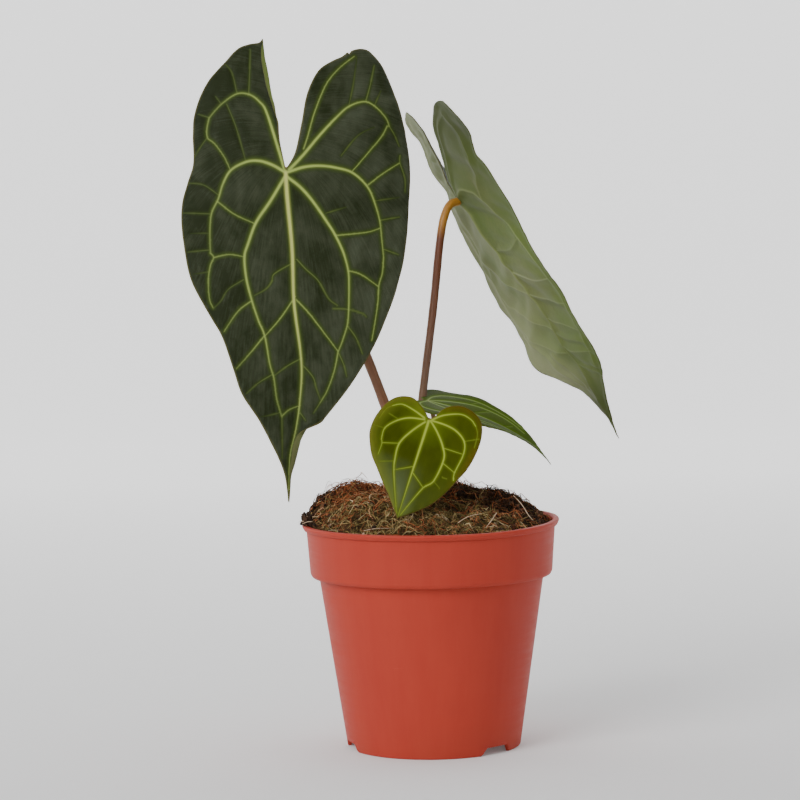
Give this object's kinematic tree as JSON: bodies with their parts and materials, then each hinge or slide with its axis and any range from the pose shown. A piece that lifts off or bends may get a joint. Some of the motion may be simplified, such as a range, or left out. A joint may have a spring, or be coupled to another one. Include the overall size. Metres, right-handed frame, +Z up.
{
  "type": "potted anthurium",
  "caption": "Young velvet-leaved anthurium with heart-shaped, pale-veined blades on slender stalks, standing in potting mix in a round plastic nursery pot.",
  "frame": {"origin": "middle of the bounding box in plan, on the surface that the pot's feet stand on", "axes": "+Z up along the pot's axis, -Y towards the plant's front, where the large left blade shows its upper face"},
  "size_m": [0.201, 0.129, 0.3281],
  "materials": {
    "pot": "satin moulded plastic, terracotta colour",
    "potting_mix": "rough coir, bark and moss",
    "crown": "dry fibrous sheaths",
    "stalk": "smooth, slightly waxy",
    "blade": "velvety upper face, paler matt underside",
    "young_blade": "velvety, olive green"
  },
  "bodies": {
    "root": {"pot": "pot", "soil": "potting_mix", "crown": "crown", "stalk_left": "stalk", "stalk_right": "stalk", "stalk_front": "stalk", "stalk_narrow": "stalk", "blade_left": "blade", "blade_right": "blade", "blade_front": "young_blade", "blade_narrow": "blade"}
  },
  "joints": []
}
